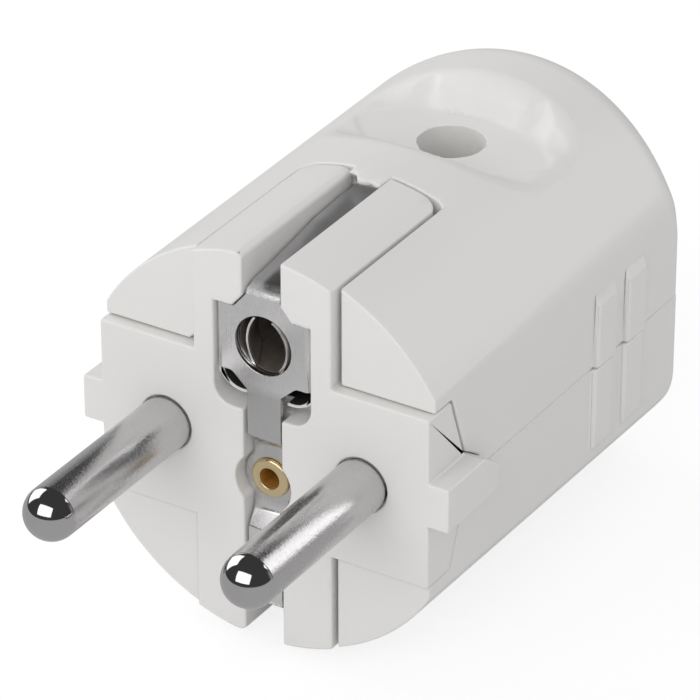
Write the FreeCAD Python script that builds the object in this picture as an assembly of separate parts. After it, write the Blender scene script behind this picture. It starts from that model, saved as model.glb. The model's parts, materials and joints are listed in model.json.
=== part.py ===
import FreeCAD, Part
import math
import os

# Rewireable earthed plug: two round line pins, an earth socket between them and earth springs above and below.
# Sizes are millimetres. The origin lies midway between the pins, on the face that meets the wall socket.
# The pins point along -Y, the cable inlet is at the +Y end and +Z is up.

os.makedirs("parts", exist_ok=True)
V = FreeCAD.Vector
REACH = 60.0  # longer than the plug: the size of cutting blocks
DOCUMENT = FreeCAD.newDocument("Plug")

# Line pins, standard sizes
PIN_RADIUS = 2.4
PIN_LENGTH = 19.0
PIN_PITCH = 19.0
PIN_NECK_RADIUS = 2.2  # the pin is turned down where it passes through the carrier
PIN_SHOULDER_GAP = 0.1  # from the shoulder above the neck to the face
PIN_SEAT_DEPTH = 0.5  # depth of the wider mouth of the hole
# Earth socket in the middle of the face
EARTH_HEIGHT = 10.0
EARTH_BORE_RADIUS = 2.5

# Outer form of the housing
INLET_ROOM = 4.5  # from the cord clamp to the rear end
TOP_FRONT_RADIUS = 18.4
TOP_REAR_RADIUS = 18.55
BASE_FRONT_RADIUS = 18.3
BASE_REAR_RADIUS = 18.8
FLANK_ROOM = 1.0  # from the head of a pin to the inside of the flank
BASE_FLAT_STEP = 0.1  # the lower flats lie this much further in
TOP_CROWN_RADIUS = 40.0  # the rear end is curved in plan
BASE_CROWN_RADIUS = 43.0
TOP_REAR_ROUND = 4.0
BASE_REAR_ROUND = 2.5
TOP_SIDE_ROUND = 1.3
BASE_SIDE_ROUND = 1.2
TOP_FLAT_EDGES = (0.5, 4.0)  # the edges of the upper flats are crisp at the front and soft at the rear
BASE_FLAT_EDGES = (1.0, 1.0)
WALL = 2.2
FACE_STEP = 1.0  # the upper shell starts this far behind the face of the carrier
BASE_FACE_STEP = 0.4  # and the lower shell this far
PARTING_HEIGHT = -0.6
PARTING_GAP = 0.1

# Contact carrier: a cross of a level band and an upright column
BAND_HALF_HEIGHT = 8.0
BAND_SIDE_DEPTH = 3.6
BAND_MID_DEPTH = 5.75
CORE_PAST_COLUMN = 0.8  # the core reaches this far behind the column
CORE_GAP = 0.2
COLUMN_HALF_WIDTH = 6.65
COLUMN_DEPTH = 17.2
COLUMN_CORNER = 1.6
COLUMN_GAP_LEFT = 0.12
COLUMN_GAP_RIGHT = 0.35
COLUMN_GAP_REAR = 0.3
OPENING_CORNER = 1.0  # the opening's rear corner on the right is sharper than the column's
SEAM_GAP = 0.12
FLANK_GAP = 0.25  # behind the band, on the flanks
RIB_PROUD = 1.9
RIB_HALF_HEIGHT = 2.05
RIB_LENGTH = 8.2
RIB_NOSE = 2.2
RIB_NOSE_TOP = 0.6

# Earth parts in the carrier
STRIP_THICKNESS = 0.5
STRIP_SETBACK = 0.3
STRIP_HALF_WIDTH = 1.62
STRIP_SUNK = 1.05  # how much further back the strip lies at the rivet
UPPER_STEP_TOP = 1.25
UPPER_STEP_BOTTOM = 0.3
LOWER_STEP_TOP = -6.2
LOWER_STEP_BOTTOM = -7.8
PLATE_GAP = 0.1  # between the plate and the pocket it lies in
PLATE_FOLD_RADIUS = 0.55
PLATE_BOTTOM = -3.15
PLATE_LOW_CORNER = 3.1
PLATE_HOLE_RADIUS = 2.7
PLATE_NECK = 4.5
WING_DEPTH = 2.7
WING_HALF_HEIGHT = 2.3
WING_DROP = 0.45
PLATE_SIDE_DEPTH = 1.0
SPRING_HEIGHT = 16.3
SPRING_RISE = 0.3
SPRING_SETBACK = 0.5  # from the end of a spring to the rear of the column
SPRING_FRONT_HEIGHT = 14.65
GROOVE_HALF_WIDTH = 1.86
GROOVE_DEPTH = 1.9
SPRING_SLOT_FLOOR = 14.9
LIP_REACH = 0.5  # how far the shell's lip reaches into the groove over the spring
POCKET_HALF_WIDTH = 4.67
POCKET_TOP = 13.1
POCKET_BOTTOM = 3.6
POCKET_CORNER = 1.8
POCKET_DEPTH = 3.0
POCKET_BEVEL_WIDTH = 1.0
POCKET_BEVEL_HEIGHT = 1.2
WELL_HALF_WIDTH = 4.2
WELL_BOTTOM = 5.0
WELL_CORNER = 1.7
LIP_WALL = 0.3
LIP_GAP = 0.05  # from the plate to the lip of the well
SLEEVE_WALL = 0.5
SLEEVE_MOUTH = 2.0
SLEEVE_SETBACK = 0.5  # from the end of the sleeve to the rear of the core
SLEEVE_COLLAR_WALL = 0.65
SLEEVE_SLIT = 0.6
SLEEVE_SLIT_START = 8.0
RIVET_HEIGHT = -3.0
RIVET_BORE_RADIUS = 1.0
RIVET_SHANK_RADIUS = 1.35
RIVET_FLANGE_RADIUS = 1.8
RIVET_FLANGE = 0.35
RIVET_FLANGE_CHAMFER = 0.15
RIVET_PAD_RADIUS = 2.5
RIVET_PAD_GAP = 0.2
HOLE_FIT = 0.05

# Terminals behind the face
FACE_WALL = 6.0
HEAD_HALF_WIDTH = 3.2
HEAD_HALF_HEIGHT = 3.4
HEAD_SETBACK = 1.8  # from the rear of a pin head to the rear of the column
HEAD_FIT = 0.1
WIRE_HOLE_RADIUS = 1.75
WIRE_SLOT_HALF_WIDTH = 2.2
TERMINAL_SCREW_RADIUS = 1.6
TERMINAL_SCREW_HEAD_RADIUS = 2.7
TERMINAL_SCREW_HEAD = 2.0
TERMINAL_SCREW_LIFT = 0.6
DRIVER_SLOT = 0.8
DRIVER_SLOT_DEPTH = 0.9
CLAMP_PLATE = 0.4
CLAMP_PLATE_HALF_WIDTH = 1.2
CLAMP_PLATE_HALF_LENGTH = 2.0
CLAMP_PLATE_HEIGHT = 0.8  # underside of the plate above the middle of the wire hole
RIVET_WALL_END = 4.0
EARTH_TAB = 1.0
EARTH_BAR_HALF_WIDTH = 3.0
EARTH_BAR_BOTTOM = -5.9
EARTH_BLOCK_GAP = 0.6  # behind the core
EARTH_BLOCK_LENGTH = 6.5
EARTH_BLOCK_HEIGHT = 6.7
TUNNEL_FIT = 0.1

# Housing screw, its boss and its recess
BOSS_GAP = 0.7  # behind the earth terminal
SCREW_HOLE_RADIUS = 2.95
RECESS_DEPTH = 2.95
RECESS_HALF_LENGTH = 6.5
RECESS_ROUND = 4.0
RECESS_BACKING = 2.0
PAD_RADIUS = 11.0
PAD_HALF_LENGTH = 4.95
PAD_DEPTH = 0.15
BOSS_RADIUS = 4.4
SCREW_SEAT = 2.0
SCREW_HEAD_RADIUS = 2.7
SCREW_HEAD = 2.2
SCREW_SHANK_RADIUS = 1.5
SCREW_FIT = 0.3
NUT_HALF_WIDTH = 2.9
NUT_THICKNESS = 2.4
NUT_FIT = 0.1
SCREW_END_PAST_NUT = 1.5

# Grips on the flats
GRIP_LEAD = 2.95  # the grips start this far before the housing screw
GRIP_WIDTH = 3.4
GRIP_PITCH = 5.2
GRIP_COUNT = 2
GRIP_PROUD = 0.5
GRIP_TOP = 6.6
GRIP_BOTTOM = -8.7
GRIP_TOP_SLOPE = 1.1
GRIP_BASE_SLOPE = 0.45
GRIP_ROUND = 0.42
GRIP_BASE_SHIFT = -0.25
GRIP_ROOT = 0.6

# Cable inlet and cord clamp
CABLE_RADIUS = 3.75
INLET_RADIUS = 5.4
GROMMET_FLANGE_RADIUS = 7.0
GROMMET_FLANGE = 0.9
GROMMET_CHAMFER = 0.4
GROMMET_FIT = 0.05
LAND_RADIUS_GAP = 0.2
LAND_DEPTH = 1.0
CLAMP_GAP = 1.4  # behind the boss of the housing screw
CLAMP_HALF_LENGTH = 2.6
CLAMP_SCREW_OFFSET = 8.6
CLAMP_POST_RADIUS = 2.8
CLAMP_POST_TOP = 0.2
CLAMP_BAR = 2.0
CLAMP_ARCH_WALL = 1.8
CLAMP_SCREW_RADIUS = 1.3
CLAMP_SCREW_HEAD_RADIUS = 2.5
CLAMP_SCREW_HEAD = 1.8
CLAMP_SCREW_LENGTH = 8.0
SADDLE_HALF_WIDTH = 6.2
SADDLE_TOP = -1.8

PIN_X = PIN_PITCH / 2
TOP_HALF_WIDTH = PIN_X + HEAD_HALF_WIDTH + FLANK_ROOM + WALL
BASE_HALF_WIDTH = TOP_HALF_WIDTH - BASE_FLAT_STEP
CORE_HALF_WIDTH = min(TOP_HALF_WIDTH, BASE_HALF_WIDTH) - WALL - CORE_GAP
STRIP_MIDDLE = STRIP_SETBACK + STRIP_THICKNESS / 2
STRIP_BACK = STRIP_SETBACK + STRIP_THICKNESS
PLATE_HALF_WIDTH = POCKET_HALF_WIDTH - PLATE_GAP
WING_PLACE = EARTH_HEIGHT - WING_DROP
CORE_DEPTH = COLUMN_DEPTH + CORE_PAST_COLUMN
SPRING_LENGTH = COLUMN_DEPTH - SPRING_SETBACK
SLEEVE_END = CORE_DEPTH - SLEEVE_SETBACK
HEAD_END = COLUMN_DEPTH - HEAD_SETBACK
TERMINAL_SCREW_PLACE = (FACE_WALL + HEAD_END + WIRE_HOLE_RADIUS) / 2
EARTH_BLOCK_START = CORE_DEPTH + EARTH_BLOCK_GAP
SCREW_PLACE = EARTH_BLOCK_START + EARTH_BLOCK_LENGTH + BOSS_GAP + BOSS_RADIUS
GRIP_START = SCREW_PLACE - GRIP_LEAD
CLAMP_PLACE = SCREW_PLACE + BOSS_RADIUS + CLAMP_GAP + CLAMP_HALF_LENGTH
BODY_LENGTH = CLAMP_PLACE + CLAMP_HALF_LENGTH + INLET_ROOM
RECESS_FLOOR = TOP_REAR_RADIUS - RECESS_DEPTH
WIRE_PLANE = EARTH_BAR_BOTTOM + EARTH_BLOCK_HEIGHT / 2


def box(x0, x1, y0, y1, z0, z1):
    return Part.makeBox(x1 - x0, y1 - y0, z1 - z0, V(x0, y0, z0))


def rod_y(radius, y0, y1, x=0.0, z=0.0):
    return Part.makeCylinder(radius, y1 - y0, V(x, y0, z), V(0, 1, 0))


def rod_z(radius, z0, z1, x=0.0, y=0.0):
    return Part.makeCylinder(radius, z1 - z0, V(x, y, z0), V(0, 0, 1))


def joined(first, *rest):
    return first.multiFuse(list(rest)).removeSplitter()


def save(name, *solids):
    shape = solids[0] if len(solids) == 1 else Part.makeCompound(list(solids))
    shape.exportStep("parts/" + name + ".step")
    volume = sum(solid.Volume for solid in shape.Solids)
    print(name, len(shape.Solids), "solids", round(volume, 1), "mm3", "valid", shape.isValid())


def turn_at(before, corner, after):
    """Signed angle by which a path turns at a corner of the plane u, v."""
    a = math.atan2(corner[1] - before[1], corner[0] - before[0])
    b = math.atan2(after[1] - corner[1], after[0] - corner[0])
    return (b - a + math.pi) % (2 * math.pi) - math.pi


def toward(start, end, distance):
    length = math.hypot(end[0] - start[0], end[1] - start[1])
    return (start[0] + (end[0] - start[0]) * distance / length, start[1] + (end[1] - start[1]) * distance / length)


def rounded_path(points, radii, place, closed):
    """Edges along points of a plane, each corner rounded by its radius; place turns u, v into a 3-D point."""
    count = len(points)
    corners = []
    for i, corner in enumerate(points):
        inner = closed or 0 < i < count - 1
        if not inner or radii[i] == 0:
            corners.append((corner, None, corner))
            continue
        before = points[i - 1]
        after = points[(i + 1) % count]
        half = abs(turn_at(before, corner, after)) / 2
        back = radii[i] * math.tan(half)
        start = toward(corner, before, back)
        end = toward(corner, after, back)
        chord_middle = ((start[0] + end[0]) / 2, (start[1] + end[1]) / 2)
        crown = toward(corner, chord_middle, radii[i] / math.cos(half) - radii[i])
        corners.append((start, crown, end))
    edges = []
    for i in range(count if closed else count - 1):
        start = corners[i][2]
        end = corners[(i + 1) % count][0]
        edges.append(Part.LineSegment(place(*start), place(*end)).toShape())
    for start, crown, end in corners:
        if crown is not None:
            edges.append(Part.Arc(place(*start), place(*crown), place(*end)).toShape())
    return edges


def face_of(edges):
    return Part.Face(Part.Wire(Part.__sortEdges__(edges)))


def at_x(u, v):
    return V(0, u, v)


def at_y(u, v):
    return V(u, 0, v)


def at_z(u, v):
    return V(u, v, 0)


def prism(points, place, start, end, radii=None):
    """Outline in one of the three planes, drawn out from start to end along the plane's normal."""
    normal = {at_x: V(1, 0, 0), at_y: V(0, 1, 0), at_z: V(0, 0, 1)}[place]
    edges = rounded_path(points, radii or [0] * len(points), place, True)
    face = face_of(edges)
    face.translate(normal * start)
    return face.extrude(normal * (end - start))


def mitred(points, shift):
    """Path moved sideways by shift, its corners kept sharp."""
    moved = []
    for i, point in enumerate(points):
        before = points[max(i - 1, 0)]
        after = points[min(i + 1, len(points) - 1)]
        turn = turn_at(before, point, after) if 0 < i < len(points) - 1 else 0.0
        heading = math.atan2(after[1] - point[1], after[0] - point[0])
        if i == len(points) - 1:
            heading = math.atan2(point[1] - before[1], point[0] - before[0])
        across = heading - turn / 2 + math.pi / 2
        reach = shift / math.cos(turn / 2)
        moved.append((point[0] + reach * math.cos(across), point[1] + reach * math.sin(across)))
    return moved


def bent_sheet(points, radii, thickness, half_width):
    """Sheet whose middle line runs through points of the YZ plane, as wide as twice half_width."""
    turns = [0.0] * len(points)
    for i in range(1, len(points) - 1):
        turns[i] = turn_at(points[i - 1], points[i], points[i + 1])
    sides = []
    for shift in (thickness / 2, -thickness / 2):
        side_radii = [r - math.copysign(shift, turn * shift) * math.copysign(1, shift) if r else 0
                      for r, turn in zip(radii, turns)]
        sides.append((mitred(points, shift), side_radii))
    left, right = sides
    outline = left[0] + right[0][::-1]
    outline_radii = left[1] + right[1][::-1]
    return prism(outline, at_x, -half_width, half_width, outline_radii)


def plan_block(half_width, crown_radius, inset):
    """Block between the two flats, closed at the rear by a surface curved in plan."""
    side = half_width - inset
    crown = crown_radius - inset
    centre = BODY_LENGTH - crown_radius
    corner = centre + math.sqrt(crown ** 2 - side ** 2)
    edges = [
        Part.LineSegment(V(-side, -1, 0), V(side, -1, 0)).toShape(),
        Part.LineSegment(V(side, -1, 0), V(side, corner, 0)).toShape(),
        Part.Arc(V(side, corner, 0), V(0, centre + crown, 0), V(-side, corner, 0)).toShape(),
        Part.LineSegment(V(-side, corner, 0), V(-side, -1, 0)).toShape(),
    ]
    face = face_of(edges)
    face.translate(V(0, 0, -REACH))
    return face.extrude(V(0, 0, 2 * REACH))


def sharp_form(front_radius, rear_radius, half_width, crown_radius, inset):
    """Round body, slightly wider at the rear, with two flats and a crowned rear end, moved inwards by inset."""
    length = BODY_LENGTH + 1
    body = Part.makeCone(front_radius - inset, rear_radius - inset, length, V(0, 0, 0), V(0, 1, 0))
    body.rotate(V(0, 0, 0), V(0, 1, 0), 90)
    return body.common(plan_block(half_width, crown_radius, inset))


def edge_radii(edge, rear_round, side_round, flat_edges):
    """Radii at both ends of an edge of the outer form, or None for the edges round its front."""
    span = edge.BoundBox
    if span.YMax < BODY_LENGTH / 2:
        return None
    if span.YMin < BODY_LENGTH / 2:
        return flat_edges[::-1] if edge.Vertexes[0].Point.y > edge.Vertexes[1].Point.y else flat_edges
    radius = side_round if span.XLength < side_round else rear_round
    return (radius, radius)


def outer_form(sharp, *rounds):
    """The form with its edges rounded, each by its own radii."""
    base = DOCUMENT.addObject("Part::Feature", "SharpForm")
    base.Shape = sharp
    rounded = DOCUMENT.addObject("Part::Fillet", "RoundedForm")
    rounded.Base = base
    numbered = [(number, edge_radii(edge, *rounds)) for number, edge in enumerate(sharp.Edges, 1)]
    rounded.Edges = [(number, *radii) for number, radii in numbered if radii]
    DOCUMENT.recompute()
    return rounded.Shape.copy()


def top_inside(inset):
    return sharp_form(TOP_FRONT_RADIUS, TOP_REAR_RADIUS, TOP_HALF_WIDTH, TOP_CROWN_RADIUS, inset)


def base_inside(inset):
    return sharp_form(BASE_FRONT_RADIUS, BASE_REAR_RADIUS, BASE_HALF_WIDTH, BASE_CROWN_RADIUS, inset)


def top_form():
    return outer_form(top_inside(0), TOP_REAR_ROUND, TOP_SIDE_ROUND, TOP_FLAT_EDGES)


def base_form():
    return outer_form(base_inside(0), BASE_REAR_ROUND, BASE_SIDE_ROUND, BASE_FLAT_EDGES)


def above(height):
    return box(-REACH, REACH, -REACH, REACH, height, REACH)


def below(height):
    return box(-REACH, REACH, -REACH, REACH, -REACH, height)


def behind(depth):
    return box(-REACH, REACH, depth, REACH, -REACH, REACH)


def band_block(half_width, gap, rear_gap):
    """Band of the carrier seen from the side: deepest at mid height, and longer where the rib stands."""
    top = BAND_HALF_HEIGHT + gap
    side = BAND_SIDE_DEPTH + rear_gap
    middle = BAND_MID_DEPTH + rear_gap
    rib = RIB_HALF_HEIGHT + gap
    points = [(-1, -top), (side, -top), (middle, -rib), (middle, rib), (side, top), (-1, top)]
    return prism(points, at_x, -half_width, half_width)


def rib_block(inner, outer, gap):
    """Guide rib on one flank, its rear end sloping down from above."""
    half = RIB_HALF_HEIGHT + gap
    end = RIB_LENGTH + gap
    points = [(-gap, -half), (end, -half), (end, RIB_NOSE_TOP + gap), (end - RIB_NOSE, half), (-gap, half)]
    radii = [0, RIB_NOSE / 3, RIB_NOSE / 5, RIB_NOSE / 2, 0]
    return prism(points, at_x, inner, outer, radii)


def column_block(gap_left, gap_right, gap_rear, right_corner):
    """Upright column of the carrier seen from above, its two rear corners rounded."""
    left = -COLUMN_HALF_WIDTH - gap_left
    right = COLUMN_HALF_WIDTH + gap_right
    rear = COLUMN_DEPTH + gap_rear
    points = [(left, -1), (right, -1), (right, rear), (left, rear)]
    radii = [0, 0, right_corner, COLUMN_CORNER]
    return prism(points, at_z, -REACH, REACH, radii)


def column_body():
    block = column_block(0, 0, 0, COLUMN_CORNER)
    upper = top_inside(0).common(block).common(above(PARTING_HEIGHT))
    lower = base_inside(0).common(block).common(below(PARTING_HEIGHT))
    return joined(upper, lower)


def earth_pocket():
    """Recess for the earth plate, with the bevels that lead up into the spring groove."""
    bevel = GROOVE_HALF_WIDTH + POCKET_BEVEL_WIDTH
    high = POCKET_TOP + POCKET_BEVEL_HEIGHT
    points = [(-POCKET_HALF_WIDTH, POCKET_BOTTOM), (POCKET_HALF_WIDTH, POCKET_BOTTOM),
              (POCKET_HALF_WIDTH, POCKET_TOP), (bevel, POCKET_TOP), (GROOVE_HALF_WIDTH, high),
              (-GROOVE_HALF_WIDTH, high), (-bevel, POCKET_TOP), (-POCKET_HALF_WIDTH, POCKET_TOP)]
    radii = [POCKET_CORNER, POCKET_CORNER, 0, 0, 0, 0, 0, 0]
    return prism(points, at_y, -1, POCKET_DEPTH, radii)


def earth_well():
    """Well behind the pocket, which holds the earth sleeve."""
    half = WELL_HALF_WIDTH
    points = [(-half, WELL_BOTTOM), (half, WELL_BOTTOM), (half, POCKET_TOP), (-half, POCKET_TOP)]
    return prism(points, at_y, 0, CORE_DEPTH + 1, [WELL_CORNER, WELL_CORNER, 0, 0])


def well_lip():
    """What the pocket leaves standing round the lower end of the well, to just behind the plate."""
    half = POCKET_HALF_WIDTH + LIP_WALL
    low = WELL_BOTTOM - LIP_WALL
    high = EARTH_HEIGHT + PLATE_BOTTOM - PLATE_GAP
    corner = WELL_CORNER + half - WELL_HALF_WIDTH
    points = [(-half, low), (half, low), (half, high), (-half, high)]
    return prism(points, at_y, STRIP_BACK + LIP_GAP, REACH, [corner, corner, 0, 0])


def strip_groove():
    """Groove down the whole face for the strip, deeper at both ends for its springs."""
    floor = SPRING_SLOT_FLOOR
    deep = COLUMN_DEPTH + 1
    points = [(-1, -REACH), (deep, -REACH), (deep, -floor), (GROOVE_DEPTH, -floor),
              (GROOVE_DEPTH, floor), (deep, floor), (deep, REACH), (-1, REACH)]
    groove = prism(points, at_x, -GROOVE_HALF_WIDTH, GROOVE_HALF_WIDTH)
    return [groove, rod_y(RIVET_PAD_RADIUS + RIVET_PAD_GAP, -1, GROOVE_DEPTH, 0, RIVET_HEIGHT)]


def terminal_pocket(x):
    """Pocket for one pin head, open on top, with a slot for its wire at the rear."""
    half = HEAD_HALF_WIDTH + HEAD_FIT
    floor = -HEAD_HALF_HEIGHT - HEAD_FIT
    room = box(x - half, x + half, FACE_WALL, HEAD_END + HEAD_FIT, floor, BAND_HALF_HEIGHT)
    slot = WIRE_SLOT_HALF_WIDTH
    wire_way = box(x - slot, x + slot, FACE_WALL, CORE_DEPTH + 1, -slot, BAND_HALF_HEIGHT)
    return joined(room, wire_way)


def contact_carrier():
    front = band_block(TOP_HALF_WIDTH, 0, 0).common(box(-REACH, REACH, 0, REACH, -REACH, REACH))
    core = box(-CORE_HALF_WIDTH, CORE_HALF_WIDTH, 0, CORE_DEPTH, -BAND_HALF_HEIGHT, BAND_HALF_HEIGHT)
    ribs = []
    for side in (-1, 1):
        inner = side * (CORE_HALF_WIDTH + CORE_GAP)
        outer = side * (TOP_HALF_WIDTH + RIB_PROUD)
        ribs.append(rib_block(min(inner, outer), max(inner, outer), 0))
    body = joined(front, core, column_body(), *ribs)
    tunnel_half = EARTH_BAR_HALF_WIDTH + TUNNEL_FIT
    tunnel_top = EARTH_BAR_BOTTOM + EARTH_BLOCK_HEIGHT
    tunnel = box(-tunnel_half, tunnel_half, RIVET_WALL_END, REACH, EARTH_BAR_BOTTOM - HOLE_FIT, tunnel_top)
    cuts = [earth_pocket().cut(well_lip()), earth_well(), tunnel, *strip_groove()]
    cuts.append(rod_y(RIVET_SHANK_RADIUS + HOLE_FIT, 0, RIVET_WALL_END + 1, 0, RIVET_HEIGHT))
    for x in (-PIN_X, PIN_X):
        cuts.append(rod_y(PIN_RADIUS + HOLE_FIT, -1, PIN_SEAT_DEPTH, x))
        cuts.append(rod_y(PIN_NECK_RADIUS + HOLE_FIT, 0, FACE_WALL + 1, x))
        cuts.append(terminal_pocket(x))
    return body.cut(cuts).removeSplitter()


def carrier_opening():
    """What both shells leave free for the carrier."""
    column = column_block(COLUMN_GAP_LEFT, COLUMN_GAP_RIGHT, COLUMN_GAP_REAR, OPENING_CORNER)
    cuts = [column, band_block(REACH, SEAM_GAP, FLANK_GAP)]
    for side in (-1, 1):
        cuts.append(rib_block(min(0, side * REACH), max(0, side * REACH), HOLE_FIT))
    return cuts


def spring_lip(form):
    """Tongue of the shell that covers the end of the spring at the rear of its groove."""
    half = GROOVE_HALF_WIDTH - HOLE_FIT * 2
    underside = SPRING_HEIGHT + SPRING_RISE + STRIP_THICKNESS
    return form.common(box(-half, half, COLUMN_DEPTH - LIP_REACH, COLUMN_DEPTH + WALL, underside, REACH))


def grip_bars(half_width, start, low, high, fall):
    """Finger grips: upright bars on both flats; the end away from the parting line slopes down."""
    bars = []
    proud = half_width + GRIP_PROUD
    root = half_width - GRIP_ROOT
    away = high if abs(high) > abs(low) else low
    slope = math.copysign(fall, away)
    near = low if away == high else high
    points = [(root, near), (proud, near), (proud, away - slope), (half_width, away), (root, away)]
    for number in range(GRIP_COUNT):
        y = start + number * GRIP_PITCH
        bar = prism(points, at_y, y, y + GRIP_WIDTH)
        outer_edges = [edge for edge in bar.Edges if rounded_on_bar(edge, proud, near)]
        bar = bar.makeFillet(GRIP_ROUND, outer_edges)
        bars.append(bar)
        bars.append(bar.mirror(V(0, 0, 0), V(1, 0, 0)))
    return bars


def rounded_on_bar(edge, x, near):
    """Whether an edge lies on the outer face of a bar, away from the parting line."""
    ends = [vertex.Point for vertex in edge.Vertexes]
    return all(abs(end.x - x) < 1e-6 for end in ends) and not all(abs(end.z - near) < 1e-6 for end in ends)


def inlet_cuts():
    """Cable inlet through the rear wall, with a flat land around it for the grommet."""
    through = rod_y(INLET_RADIUS, BODY_LENGTH / 2 + CLAMP_PLACE / 2, BODY_LENGTH + 1, 0, PARTING_HEIGHT)
    land = rod_y(GROMMET_FLANGE_RADIUS + LAND_RADIUS_GAP, BODY_LENGTH - LAND_DEPTH, BODY_LENGTH + 1, 0, PARTING_HEIGHT)
    return [through, land]


def recess_cuts():
    """Scooped recess across the top, a shallow lens-shaped pad in it and the screw hole."""
    run = math.sqrt(RECESS_ROUND ** 2 - (RECESS_ROUND - RECESS_DEPTH) ** 2)
    flat = RECESS_HALF_LENGTH - run
    climb = RECESS_ROUND
    middle = SCREW_PLACE
    points = [(middle - flat - climb, RECESS_FLOOR), (middle + flat + climb, RECESS_FLOOR),
              (middle + flat + climb, REACH), (middle - flat - climb, REACH)]
    scoop = prism(points, at_x, -REACH, REACH, [climb * 0.99, climb * 0.99, 0, 0])
    offset = PAD_RADIUS - PAD_HALF_LENGTH
    height = (RECESS_FLOOR - PAD_DEPTH, REACH)
    pad = rod_z(PAD_RADIUS, *height, 0, middle - offset).common(rod_z(PAD_RADIUS, *height, 0, middle + offset))
    hole = rod_z(SCREW_HOLE_RADIUS, SCREW_SEAT, REACH, 0, middle)
    shank = rod_z(SCREW_SHANK_RADIUS + SCREW_FIT, -REACH, SCREW_SEAT + 1, 0, middle)
    return [scoop, pad, hole, shank]


def upper_shell():
    outer = top_form().common(above(PARTING_HEIGHT + PARTING_GAP / 2)).common(behind(FACE_STEP))
    inner = top_inside(WALL).common(behind(FACE_STEP + WALL))
    backing = box(-REACH, REACH, SCREW_PLACE - RECESS_HALF_LENGTH - WALL, SCREW_PLACE + RECESS_HALF_LENGTH + WALL,
                  RECESS_FLOOR - RECESS_BACKING, REACH)
    wall = outer.cut(inner.cut(backing))
    wall = wall.cut(carrier_opening())
    boss = rod_z(BOSS_RADIUS, PARTING_HEIGHT, RECESS_FLOOR, 0, SCREW_PLACE)
    lip = spring_lip(top_inside(0))
    grips = grip_bars(TOP_HALF_WIDTH, GRIP_START, PARTING_HEIGHT + PARTING_GAP / 2, GRIP_TOP, GRIP_TOP_SLOPE)
    wall = joined(wall, boss, lip, *grips)
    return wall.cut(recess_cuts() + inlet_cuts())


def clamp_posts():
    posts = []
    for x in (-CLAMP_SCREW_OFFSET, CLAMP_SCREW_OFFSET):
        posts.append(rod_z(CLAMP_POST_RADIUS, -REACH, CLAMP_POST_TOP, x, CLAMP_PLACE))
    half = SADDLE_HALF_WIDTH
    saddle = box(-half, half, CLAMP_PLACE - CLAMP_HALF_LENGTH, CLAMP_PLACE + CLAMP_HALF_LENGTH, -REACH, SADDLE_TOP)
    trough = rod_y(CABLE_RADIUS, 0, BODY_LENGTH, 0, PARTING_HEIGHT)
    return posts + [saddle.cut(trough)]


def lower_shell():
    outer = base_form().common(below(PARTING_HEIGHT - PARTING_GAP / 2)).common(behind(BASE_FACE_STEP))
    inner = base_inside(WALL).common(behind(BASE_FACE_STEP + WALL))
    wall = outer.cut(inner).cut(carrier_opening())
    solid = base_inside(WALL / 2)
    boss = rod_z(BOSS_RADIUS, -REACH, PARTING_HEIGHT, 0, SCREW_PLACE).common(solid)
    fittings = [piece.common(solid) for piece in clamp_posts()]
    lip = spring_lip(top_inside(0)).mirror(V(0, 0, 0), V(0, 0, 1)).common(base_inside(0))
    grips = grip_bars(BASE_HALF_WIDTH, GRIP_START + GRIP_BASE_SHIFT, GRIP_BOTTOM, PARTING_HEIGHT - PARTING_GAP / 2,
                      GRIP_BASE_SLOPE)
    wall = joined(wall, boss, lip, *fittings, *grips)
    nut_room = NUT_HALF_WIDTH + NUT_FIT
    nut_floor = PARTING_HEIGHT - NUT_THICKNESS - NUT_FIT
    cuts = inlet_cuts()
    cuts.append(box(-nut_room, nut_room, SCREW_PLACE - nut_room, SCREW_PLACE + nut_room, nut_floor, PARTING_HEIGHT + 1))
    shank_end = nut_floor - SCREW_END_PAST_NUT - SCREW_FIT
    cuts.append(rod_z(SCREW_SHANK_RADIUS + SCREW_FIT, shank_end, PARTING_HEIGHT + 1, 0, SCREW_PLACE))
    screw_hole_end = CLAMP_POST_TOP + CLAMP_BAR - CLAMP_SCREW_LENGTH - SCREW_FIT
    for x in (-CLAMP_SCREW_OFFSET, CLAMP_SCREW_OFFSET):
        cuts.append(rod_z(CLAMP_SCREW_RADIUS + HOLE_FIT, screw_hole_end, REACH, x, CLAMP_PLACE))
    return wall.cut(cuts).removeSplitter()


def line_pin(x):
    """Round pin with a ball end and, behind the face, a square head that takes the wire."""
    shank = rod_y(PIN_RADIUS, PIN_RADIUS - PIN_LENGTH, -PIN_SHOULDER_GAP, x)
    neck = rod_y(PIN_NECK_RADIUS, -PIN_SHOULDER_GAP, FACE_WALL, x)
    tip = Part.makeSphere(PIN_RADIUS, V(x, PIN_RADIUS - PIN_LENGTH, 0))
    head = box(x - HEAD_HALF_WIDTH, x + HEAD_HALF_WIDTH, FACE_WALL, HEAD_END, -HEAD_HALF_HEIGHT, HEAD_HALF_HEIGHT)
    wire_hole = rod_y(WIRE_HOLE_RADIUS, FACE_WALL + WIRE_HOLE_RADIUS, HEAD_END + 1, x)
    screw_hole = rod_z(TERMINAL_SCREW_RADIUS + HOLE_FIT, 0, REACH, x, TERMINAL_SCREW_PLACE)
    return joined(shank, tip, neck, head).cut([wire_hole, screw_hole])


def slotted_screw(shank_radius, head_radius, head, bottom, seat, x, y):
    """Slotted screw standing on Z: shank from bottom up to seat, then the head."""
    body = joined(rod_z(shank_radius, bottom, seat, x, y), rod_z(head_radius, seat, seat + head, x, y))
    rim = [edge for edge in body.Edges if abs(edge.BoundBox.ZMin - seat - head) < 1e-6]
    body = body.makeChamfer(head / 6, rim[:1])
    half = DRIVER_SLOT / 2
    slot = box(x - REACH, x + REACH, y - half, y + half, seat + head - DRIVER_SLOT_DEPTH, seat + head + 1)
    return body.cut(slot)


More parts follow.
